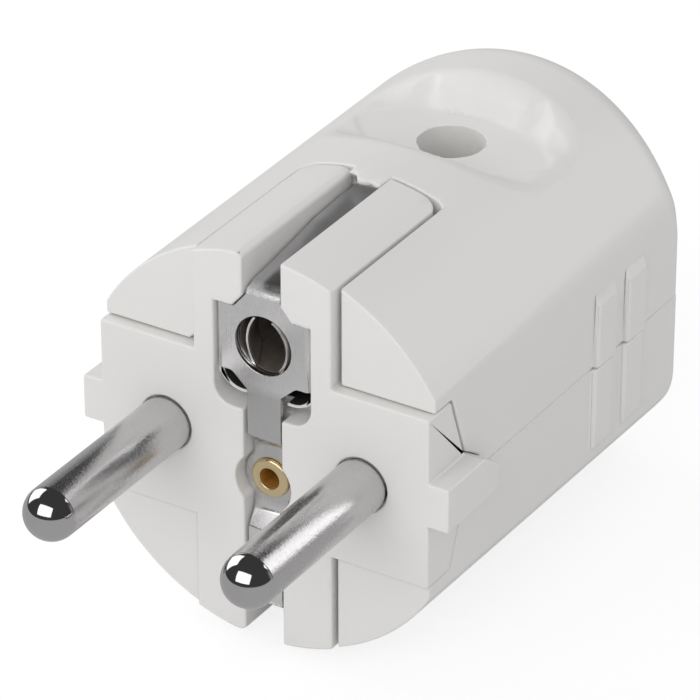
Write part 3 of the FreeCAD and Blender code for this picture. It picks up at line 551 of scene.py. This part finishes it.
def blurred(rows, width):
    """A table of heights blurred along both directions by a bell of that width in steps."""
    reach = int(width * 3)
    bell = [math.exp(-0.5 * (step / width) ** 2) for step in range(-reach, reach + 1)]
    total = sum(bell)

    def smeared(row):
        last = len(row) - 1
        return [sum(w * row[min(max(i + step - reach, 0), last)] for step, w in enumerate(bell)) / total
                for i in range(last + 1)]
    columns = zip(*[smeared(row) for row in rows])
    return [list(row) for row in zip(*[smeared(column) for column in columns])]


steps_x = int(round(2 * CUT_X / GRID))
steps_y = int(round((CUT_Y[1] - CUT_Y[0]) / GRID))
margin = int(BLUR * 3 / GRID) + 1
across = [i * GRID - CUT_X for i in range(-margin, steps_x + 1 + margin)]
sharp_depth = []
for j in range(-margin, steps_y + 1 + margin):
    y = CUT_Y[0] + j * GRID
    sharp_depth.append([max(outer_height(x, y) - recess_height(y), 0.0) for x in across])
soft_depth = blurred(sharp_depth, BLUR / GRID)

bpy.ops.object.select_all(action="DESELECT")
bpy.ops.mesh.primitive_grid_add(x_subdivisions=steps_x, y_subdivisions=steps_y, size=1,
                                location=(0, sum(CUT_Y) / 2 * MM, RECESS_FLOOR * MM))
cutter = bpy.context.object
cutter.name = "recess_cutter"
cutter.scale = (2 * CUT_X * MM, (CUT_Y[1] - CUT_Y[0]) * MM, 1)
bpy.ops.object.transform_apply(location=True, rotation=True, scale=True)
for vertex in cutter.data.vertices:
    x, y, z = vertex.co / MM
    i = int(round((x + CUT_X) / GRID)) + margin
    j = int(round((y - CUT_Y[0]) / GRID)) + margin
    blended = outer_height(x, y) - soft_depth[j][i] + ABOVE_SURFACE
    vertex.co.z = min(blended, recess_height(y) - BELOW_SURFACE, pad_height(x, y)) * MM
edit(cutter)
bpy.ops.mesh.select_all(action="SELECT")
bpy.ops.mesh.extrude_region_move(TRANSFORM_OT_translate={"value": (0, 0, CUT_RISE * MM)})
bpy.ops.transform.resize(value=(1, 1, 0), center_override=(0, 0, CUT_TOP * MM))
bpy.ops.mesh.select_all(action="SELECT")
bpy.ops.mesh.normals_make_consistent(inside=False)
done()
print("cutter:", steps_x, "by", steps_y, "steps")

# %% [markdown]
# ## Upper shell: small rounds
# The mould leaves small rounds on every edge. They come after the cut, because a bevelled skin can cross
# itself and would then be cut wrongly, and only outside the recess, which is soft already. One corner of
# the front is cut off on a slant: it is the small dark gap beside the column.

# %% Cutting and rounding
CORNER_NOTCH = 0.9
NOTCH_PLACE = (-6.77, 8.12)
NEAR_NOTCH = 0.06
SHELL_ROUND = 0.2
RECESS_LOWEST = 13.0


def notch_edge(edge):
    ends = [vertex.co / MM for vertex in edge.verts]
    near = all(abs(end.x - NOTCH_PLACE[0]) < NEAR_NOTCH and abs(end.z - NOTCH_PLACE[1]) < NEAR_NOTCH
               for end in ends)
    return near and abs(ends[0].y - ends[1].y) > 0.5


def outside_recess(edge):
    place = centre(edge)
    return abs(place.x) > CUT_X or place.z < RECESS_LOWEST or not CUT_Y[0] < place.y < CUT_Y[1]


upper = merged_copy("upper_shell", "upper_shell_moulded")
cut = upper.modifiers.new("recess", "BOOLEAN")
cut.operation = "DIFFERENCE"
cut.solver = "EXACT"
cut.object = cutter
apply_all(upper)
bpy.data.objects.remove(cutter)
print("recess cut:", len(upper.data.polygons), "faces")
edit(upper)
print("notch edges:", choose(upper, "EDGE", notch_edge))
bpy.ops.mesh.bevel(offset=CORNER_NOTCH * MM, segments=1, affect="EDGES")
done()
rounded(upper, SHELL_ROUND, 3, outside_recess)

# %% [markdown]
# ## Upper shell: the torn lip
# A thin lip covers the end of the earth spring, and its edge is torn. The lip's faces are cut across into
# narrow strips, and each strip's front edge and underside are pulled to the place that a table gives.

# %% The torn lip
# Each row: place across the lip, place of its edge along the plug, thickness there.
TORN = [(-1.75, 16.4, 0.2), (-1.25, 16.5, 0.3), (-0.85, 16.3, 0.25), (-0.62, 15.9, 0.3),
        (-0.42, 15.62, 0.4), (-0.1, 15.5, 0.35), (0.2, 15.52, 0.3), (0.5, 15.72, 0.38), (0.8, 15.8, 0.3),
        (1.1, 15.68, 0.36), (1.4, 15.6, 0.3), (1.75, 15.6, 0.25)]
LIP_HALF = 1.76
LIP_FRONT = 16.7
LIP_REAR = 17.55
LIP_UNDER = 17.1
LIP_MIDDLE = 17.75
LIP_TOP = 18.25


def between(table, position):
    """Value at a position in a table of (position, value), on straight lines between its rows."""
    if position <= table[0][0]:
        return table[0][1]
    for (a, low), (b, high) in zip(table, table[1:]):
        if position <= b:
            return low + (high - low) * (position - a) / (b - a)
    return table[-1][1]


def lip_face(face):
    place = centre(face)
    return abs(place.x) < LIP_HALF and LIP_FRONT - 0.05 < place.y < LIP_REAR and place.z > LIP_UNDER - 0.1


def at_front_of_lip(place):
    level = LIP_FRONT - 0.1 < place.y < LIP_FRONT + 0.25
    return abs(place.x) < LIP_HALF + 0.04 and level and place.z > LIP_UNDER - 0.05


edit(upper)
sliced(upper, lip_face, 0, [x for x, y, thick in TORN[1:-1]])
mesh = bmesh.from_edit_mesh(upper.data)
pulls = [(x, y - LIP_FRONT) for x, y, thick in TORN]
lifts = [(x, LIP_TOP - thick - LIP_UNDER) for x, y, thick in TORN]
for vertex in mesh.verts:
    place = centre(vertex)
    if at_front_of_lip(place):
        vertex.co.y += between(pulls, place.x) * MM
        if place.z < LIP_MIDDLE:
            vertex.co.z += between(lifts, place.x) * MM
bmesh.update_edit_mesh(upper.data)
done()
shaded(upper)
stands_for(upper, "upper_shell", "upper_shell")

# %% [markdown]
# ## Lower shell
# It gets the same small rounds as the upper shell, and nothing else, because its recesses are all plain.

# %% The lower shell
lower = merged_copy("lower_shell", "lower_shell_moulded")
rounded(lower, SHELL_ROUND)
shaded(lower)
stands_for(lower, "lower_shell", "lower_shell")

# %% [markdown]
# ## Contact carrier
# The edge left of the spring's groove is rounder than the others, and is bevelled first. The well behind the
# earth plate is cut across just behind its lip, so that its depth can be given painted shade later. The
# front is one very large face full of holes. It is sliced at a few heights, because the triangles of such a
# face come out long and thin and would shade it unevenly.

# %% The contact carrier
GROOVE_EDGE = -1.86
GROOVE_BOTTOM = 17.5
GROOVE_ROUND = 0.7
CARRIER_ROUND = 0.22
WELL_HALF = 4.22
WELL_HEIGHTS = (4.98, 13.12)
WELL_DEPTHS = (0.6, 18.5)
WELL_SHADE_FROM = 1.0
FRONT_SLICES = [-14, -8.3, -4.4, -1, 3.4, 5, 8.3, 12.5, 15]


def groove_edge(edge):
    ends = [vertex.co / MM for vertex in edge.verts]
    return all(abs(end.x - GROOVE_EDGE) < 0.02 and abs(end.z) > GROOVE_BOTTOM for end in ends)


def in_well(face):
    place = centre(face)
    inside = abs(place.x) < WELL_HALF and WELL_HEIGHTS[0] < place.z < WELL_HEIGHTS[1]
    return inside and WELL_DEPTHS[0] < place.y < WELL_DEPTHS[1]


def on_front(face):
    return face.normal.y < -0.999 and centre(face).y < 0.01


carrier = merged_copy("contact_carrier", "contact_carrier_moulded")
edit(carrier)
print("groove edges:", choose(carrier, "EDGE", groove_edge))
bpy.ops.mesh.bevel(offset=GROOVE_ROUND * MM, segments=5, affect="EDGES", clamp_overlap=True)
done()
rounded(carrier, CARRIER_ROUND)
edit(carrier)
sliced(carrier, in_well, 1, [WELL_SHADE_FROM])
sliced(carrier, on_front, 2, FRONT_SLICES)
done()
shaded(carrier)
stands_for(carrier, "contact_carrier", "contact_carrier")

# %% [markdown]
# ## Earth strip
# Stamped from sheet and bent, so its edges are only lightly rounded. The two springs bow up from the bend
# in an almost straight line and end under the lips of the shells. To bend them a little more, they are cut
# across into short lengths, and each cut is shifted by the amount that a table gives.

# %% The strip
# Each row: place along the spring, shift outwards there.
SPRING_SHIFT = [(0.9, 0.0), (1.8, -0.36), (3.0, -0.42), (5.0, -0.5), (7.2, -0.47), (9.4, -0.34),
                (12.5, -0.08), (14.5, 0.15), (16.7, 0.30)]
SPRING_CUTS = [2.4, 3.0, 4.0, 5.0, 6.2, 7.2, 8.4, 9.4, 10.8, 12.5, 13.5, 14.5, 15.6]
STRIP_ROUND = 0.06
SPRING_START = 0.9
SPRING_HEIGHT = 14
SPRING_END = 16.6
SPRING_TUCK = 0.75


def on_spring(face):
    place = centre(face)
    return place.y > SPRING_START + 0.05 and abs(place.z) > SPRING_HEIGHT


strip = merged_copy("earth_strip", "earth_strip_rolled")
rounded(strip, STRIP_ROUND, 2)
edit(strip)
sliced(strip, on_spring, 1, SPRING_CUTS)
mesh = bmesh.from_edit_mesh(strip.data)
for vertex in mesh.verts:
    if vertex.co.y > SPRING_START * MM and abs(vertex.co.z) > SPRING_HEIGHT * MM:
        shift = between(SPRING_SHIFT, vertex.co.y / MM)
        vertex.co.z += shift * MM if vertex.co.z > 0 else -shift * MM
        if vertex.co.y > SPRING_END * MM and vertex.co.z > 0:
            vertex.co.y += SPRING_TUCK * MM
bmesh.update_edit_mesh(strip.data)
done()
shaded(strip)
stands_for(strip, "earth_strip", "earth_strip")

# %% [markdown]
# ## Earth socket: the tube
# Socket and rivet are turned parts, so each is drawn as rings along its axis: a circle is extruded, moved
# and resized from one ring to the next, and the last ring meets the first.

# %% A turned tube
def turned(name, x, z, profile, steps=64):
    """A ring round an axis along Y, from a closed profile of (radius, y) in millimetres."""
    radius, depth = profile[0]
    bpy.ops.object.select_all(action="DESELECT")
    bpy.ops.mesh.primitive_circle_add(vertices=steps, radius=radius * MM,
                                      location=(x * MM, depth * MM, z * MM), rotation=(math.pi / 2, 0, 0))
    piece = bpy.context.object
    piece.name = name
    bpy.ops.object.transform_apply(location=True, rotation=True, scale=True)
    edit(piece)
    bpy.ops.mesh.select_all(action="SELECT")
    for (r0, y0), (r1, y1) in zip(profile, profile[1:] + profile[:1]):
        bpy.ops.mesh.extrude_edges_move(TRANSFORM_OT_translate={"value": (0, (y1 - y0) * MM, 0)})
        bpy.ops.transform.resize(value=(r1 / r0, 1, r1 / r0), center_override=(x * MM, y1 * MM, z * MM))
    bpy.ops.mesh.select_all(action="SELECT")
    bpy.ops.mesh.remove_doubles(threshold=0.002 * MM)
    bpy.ops.mesh.normals_make_consistent(inside=False)
    done()
    return piece


SOCKET_Z = 10.0
TUBE = [(2.78, 0.86), (2.98, 0.82), (3.34, 0.84), (3.4, 0.92), (3.4, 2.6), (3.0, 2.7), (3.0, 17.45),
        (2.5, 17.5), (2.5, 9.0), (2.75, 2.6), (2.75, 0.92)]
socket = turned("earth_socket", 0, SOCKET_Z, TUBE)
print("socket tube:", len(socket.data.polygons), "faces")

# %% [markdown]
# ## Earth socket: the jaws
# In the mouth of the tube two sprung jaws lean in and grip the earth pin. Each starts as part of a circle
# that is smaller or lies off the axis, and widens back to the bore over a few extruded rings. A wall
# thickness and a small round on the edge finish it.

# %% Sprung jaws
JAW_FRONT = 1.0
JAW_BACK = 3.3
JAW_WALL = 0.22
JAW_ROUND = 0.05
JAW_STEPS = 4
BORE = 2.55


def jaw(name, radius, x, z, first, last):
    """A jaw whose front edge is an arc round (x, z), from one angle to the other in degrees."""
    bpy.ops.object.select_all(action="DESELECT")
    bpy.ops.mesh.primitive_circle_add(vertices=144, radius=radius * MM,
                                      location=(x * MM, JAW_FRONT * MM, z * MM), rotation=(math.pi / 2, 0, 0))
    piece = bpy.context.object
    piece.name = name
    bpy.ops.object.transform_apply(location=True, rotation=True, scale=True)

    def beyond_arc(vertex):
        place = centre(vertex)
        angle = math.degrees(math.atan2(place.z - z, place.x - x))
        return not 0 <= (angle - first) % 360 <= last - first
    edit(piece)
    choose(piece, "VERT", beyond_arc)
    bpy.ops.mesh.delete(type="VERT")
    bpy.ops.mesh.select_all(action="SELECT")
    r0, x0, z0 = radius, x, z
    for step in range(1, JAW_STEPS + 1):
        part = step / JAW_STEPS
        y1 = JAW_FRONT + (JAW_BACK - JAW_FRONT) * part
        r1 = radius + (BORE - radius) * eased(part)
        x1 = x * (1 - eased(part))
        z1 = z + (SOCKET_Z - z) * eased(part)
        move = ((x1 - x0) * MM, (JAW_BACK - JAW_FRONT) / JAW_STEPS * MM, (z1 - z0) * MM)
        bpy.ops.mesh.extrude_edges_move(TRANSFORM_OT_translate={"value": move})
        bpy.ops.transform.resize(value=(r1 / r0, 1, r1 / r0), center_override=(x1 * MM, y1 * MM, z1 * MM))
        r0, x0, z0 = r1, x1, z1
    bpy.ops.mesh.select_all(action="SELECT")
    bpy.ops.mesh.normals_make_consistent(inside=False)
    done()
    wall = piece.modifiers.new("wall", "SOLIDIFY")
    wall.thickness = JAW_WALL * MM
    wall.offset = 0
    apply_all(piece)
    rounded(piece, JAW_ROUND, 2)
    return piece


jaws = [jaw("left_jaw", radius=3.66, x=1.66, z=9.78, first=141, last=222),
        jaw("right_jaw", radius=2.86, x=-1.06, z=9.41, first=-44, last=60)]
alone(socket)
for piece in jaws:
    piece.select_set(True)
bpy.ops.object.join()
shaded(socket)
stands_for(socket, "earth_sleeve", "earth_sleeve")

# %% [markdown]
# ## Hollow rivet
# The brass rivet is a tube whose front end is rolled over the strip. Its profile runs round the flat flange,
# over the rolled edge into the bore, and back along the shank.

# %% The rivet
RIVET_Z = -3.0
RIVET = [(1.72, 1.36), (1.8, 1.28), (1.8, 1.2), (1.72, 1.08), (1.55, 1.0), (1.4, 1.02), (1.28, 1.06),
         (1.16, 1.02), (1.06, 0.98), (0.98, 1.02), (0.93, 1.12), (0.9, 1.4), (0.9, 5.3), (1.33, 5.3),
         (1.35, 5.2), (1.35, 1.36)]
rivet = turned("earth_rivet_rolled", 0, RIVET_Z, RIVET)
shaded(rivet, 60)
stands_for(rivet, "earth_rivet", "earth_rivet")

# %% [markdown]
# ## White plastic
# Shells and carrier are moulded in an off-white thermoplastic with a satin skin. A flat colour would look
# like paper, so the tone drifts a little over centimetres, the sheen over millimetres, and a very fine
# grain breaks the highlights. The depth of the well gets the same plastic in a dark tone: painted shade.

# %% Moulded plastic
def moulded_plastic(name, colour, sheen=0.44, drift=0.015):
    finish = Finish(name)
    broad = finish.noise(14.0, 2.0)
    fine = finish.noise(0.35, 4.0)
    tone = finish.mixed(broad, times(colour, 1 - drift * 2), times(colour, 1 + drift))
    rough = (broad - 0.5) * 0.06 + (fine - 0.5) * 0.10 + sheen
    return finish.set(Base_Color=tone, Roughness=rough, Normal=finish.bump(fine, 0.004, 0.35), IOR=1.48)


PLASTIC = srgb(231, 230, 228)
# painted shade: a dark grey that stands for the shade deep in the well
WELL_SHADE_GREY = srgb(52, 51, 50)
shell_plastic = moulded_plastic("shell_plastic", PLASTIC)
carrier_plastic = moulded_plastic("carrier_plastic", PLASTIC, sheen=0.40)
painted_shade_plastic = moulded_plastic("painted_shade_plastic", WELL_SHADE_GREY, sheen=0.6)
print("plastic:", shell_plastic.name, carrier_plastic.name, painted_shade_plastic.name)

# %% [markdown]
# ## Nickel of the pins
# A pin is drawn from rod and plated. Its shank keeps fine marks and a grain that blur what it mirrors, while
# the ball tip is polished bright. Both are one material, and the place along the pin says which it is.

# %% Pins and plated steel
TIP_END = (-16.75, -16.65)


def pin_finish(name, colour):
    """Drawn shank with fine marks along it, and a ball tip polished bright."""
    finish = Finish(name)
    shank = finish.along("Y").rise(*TIP_END)
    drawn = finish.noise(0.10, 4.0, (1.0, 0.045, 1.0))
    grain = finish.noise(0.16, 3.0, (1.0, 0.6, 1.0))
    cloudy = finish.noise(2.2, 3.0, (1.0, 0.3, 1.0))
    marks = drawn * 0.35 + grain * 0.65
    tone = finish.mixed(cloudy * 0.5 + marks * 0.5, times(colour, 0.86), colour)
    rough = shank * ((marks - 0.5) * 0.30 + (cloudy - 0.5) * 0.10 + 0.17) + 0.07
    return finish.set(Base_Color=tone, Metallic=1.0, Roughness=rough,
                      Normal=finish.bump(marks * shank, 0.02, 1.0))


def plated(name, colour, shine, grain):
    """Plated metal with a fine grain: its width in millimetres."""
    finish = Finish(name)
    fine = finish.noise(grain, 3.0)
    cloudy = finish.noise(2.5, 3.0)
    tone = finish.mixed(cloudy, times(colour, 0.94), colour)
    rough = (fine - 0.5) * 0.06 + (cloudy - 0.5) * 0.05 + shine
    return finish.set(Base_Color=tone, Metallic=1.0, Roughness=rough, Normal=finish.bump(fine, 0.002, 0.25))


pin_nickel = pin_finish("pin_nickel", srgb(212, 210, 211))
steel = plated("plated_steel", srgb(190, 190, 186), shine=0.26, grain=0.12)
print("pins and screws:", pin_nickel.name, steel.name)

# %% [markdown]
# ## Rolled sheet of the earth strip
# The strip is cut from rolled and plated sheet, so it keeps fine lines along its length. The bend gets
# bright specks of painted highlight, the springs are duller than the plate round the socket, and a
# dark patch of painted shade lies beside the bend. Each of these is a mask made of the place on the strip.

# %% Strip
BEND_FROM = (14.45, 14.6)
BEND_TO = (15.05, 14.9)
BEND_DEPTH = (0.95, 0.8)
SPRING_FROM = (14.4, 14.8)
SPRING_DEPTH = (1.0, 1.6)
PLATE_FROM = (5.2, 6.2)
# where the patch of painted shade lies beside the bend, across and along the spring
SHADE_PATCH_ACROSS = (-0.75, -0.35)
SHADE_PATCH_DEPTH = (4.4, 2.8)


def rolled_sheet(name):
    """Plated sheet: rolling lines along Z, specks of painted highlight at the bends, springs duller than the
    plate.
    """
    finish = Finish(name)
    depth = finish.along("Y")
    height = finish.along("Z")
    height = height.math("ABSOLUTE", height)
    lines = finish.noise(0.14, 3.0, (1.0, 1.0, 0.04))
    specks = finish.noise(0.09, 2.0)
    cloudy = finish.noise(2.5, 3.0)
    bend = height.rise(*BEND_FROM) * height.rise(*BEND_TO) * depth.rise(*BEND_DEPTH)
    spring = depth.rise(*SPRING_DEPTH) * height.rise(*SPRING_FROM)
    # painted shade: a dark patch on the spring beside the bend
    painted_shade_patch = spring * finish.along("X").rise(*SHADE_PATCH_ACROSS) * depth.rise(*SHADE_PATCH_DEPTH)
    pattern = cloudy * 0.5 + lines * 0.5
    neck = finish.mixed(pattern, srgb(202, 201, 201), srgb(226, 225, 225))
    plate = finish.mixed(pattern, srgb(232, 231, 231), srgb(255, 254, 254))
    # painted highlight: bright specks on the bend
    speckled_highlight = finish.mixed(specks.rise(0.35, 0.6), srgb(170, 170, 170), (1, 1, 1, 1))
    tone = finish.mixed(height.rise(*PLATE_FROM), neck, plate)
    tone = finish.mixed(bend, tone, speckled_highlight)
    tone = finish.mixed(spring, tone, srgb(205, 204, 206))
    tone = finish.mixed(painted_shade_patch * 0.85, tone, finish.mixed(specks, srgb(70, 68, 70), srgb(140, 138, 140)))
    rough = (lines - 0.5) * 0.10 + (cloudy - 0.5) * 0.06 + 0.26 + bend * 0.22 + spring * 0.08
    metal = 1.0 - bend * 0.55 - spring * 0.1
    relief = finish.bump(lines * 0.5 + specks * bend * 2.0, 0.004, 0.3)
    return finish.set(Base_Color=tone, Metallic=metal, Roughness=rough, Normal=relief)


strip_metal = rolled_sheet("strip_metal")
print("strip:", strip_metal.name, len(strip_metal.node_tree.nodes), "nodes")

# %% [markdown]
# ## Earth socket and rivet
# Both are bright at the edge that is wiped and touched, and duller, darker and more coloured inside. A
# depth in millimetres says where the inside starts.

# %% Turned metals
INSIDE_FADE = 0.15


def turned_metal(name, rim, inside, first_inside, metal_inside):
    """Turned metal: bright at its front edge, duller and more coloured from a depth in millimetres on."""
    finish = Finish(name)
    inner = finish.along("Y").rise(first_inside, first_inside + INSIDE_FADE)
    marks = finish.noise(0.25, 3.0, (1.0, 0.12, 1.0))
    cloudy = finish.noise(1.6, 3.0)
    mottled_inside = finish.mixed(marks * 0.5 + cloudy * 0.5, times(inside, 0.25), inside)
    tone = finish.mixed(inner, rim, mottled_inside)
    rough = (marks - 0.5) * 0.14 + 0.22 + inner * 0.18
    metal = 1.0 - inner * (1 - metal_inside)
    return finish.set(Base_Color=tone, Metallic=metal, Roughness=rough, Normal=finish.bump(marks, 0.006, 0.3))


sleeve_nickel = turned_metal("sleeve_nickel", srgb(250, 249, 248), srgb(150, 140, 131), 1.10, 0.4)
brass = turned_metal("rivet_brass", srgb(236, 216, 172), srgb(244, 176, 76), 1.14, 0.45)
print("turned metals:", sleeve_nickel.name, brass.name)

# %% [markdown]
# ## Rubber of the grommet
# The ring in the cable inlet is a soft, slightly dusty rubber, a little darker than the plastic.

# %% Rubber
def soft_rubber(name, colour):
    finish = Finish(name)
    dusty = finish.noise(1.2, 4.0)
    tone = finish.mixed(dusty, times(colour, 0.9), colour)
    rough = (dusty - 0.5) * 0.1 + 0.62
    return finish.set(Base_Color=tone, Roughness=rough, Normal=finish.bump(dusty, 0.01, 0.4))


grommet_rubber = soft_rubber("grommet_rubber", srgb(214, 213, 210))
print("rubber:", grommet_rubber.name)

# %% [markdown]
# ## Every piece gets its finish
# A node or a piece has one material slot, which is emptied and given the finish of its real material. The
# nodes that a softened copy stands for get one too, so that the frame is complete without the copies.

# %% Finishes
FINISHES = {
    shell_plastic: ["upper_shell", "lower_shell", "cord_clamp"],
    carrier_plastic: ["contact_carrier"],
    pin_nickel: ["line_pin", "neutral_pin"],
    sleeve_nickel: ["earth_sleeve"],
    strip_metal: ["earth_strip"],
    brass: ["earth_rivet", "earth_terminal"],
    steel: ["line_terminal_screw", "neutral_terminal_screw", "earth_terminal_screw", "line_wire_plate",
            "neutral_wire_plate", "earth_wire_plate", "cord_clamp_screws", "housing_screw", "housing_nut"],
    grommet_rubber: ["cable_grommet"],
}
MADE = {shell_plastic: [upper, lower], carrier_plastic: [carrier], strip_metal: [strip],
        sleeve_nickel: [socket], brass: [rivet]}
for material, names in FINISHES.items():
    for piece in [nodes[name] for name in names] + MADE.get(material, []):
        piece.data.materials.clear()
        piece.data.materials.append(material)
print("finished nodes:", sum(len(names) for names in FINISHES.values()))

# %% [markdown]
# ## Painted shade in the well
# Light hardly reaches the bottom of the narrow well, and the photograph shows it black. The shade is
# painted: a second material slot with the dark plastic goes to the faces behind the cut that was made for it.

# %% The well
carrier.data.materials.append(painted_shade_plastic)
edit(carrier)
# painted shade: the faces deep in the well get the dark plastic
painted_shade_faces = choose(carrier, "FACE", lambda face: in_well(face) and centre(face).y > WELL_SHADE_FROM)
carrier.active_material_index = 1
bpy.ops.object.material_slot_assign()
done()
bpy.ops.object.select_all(action="DESELECT")
print("dark faces in the well:", painted_shade_faces)
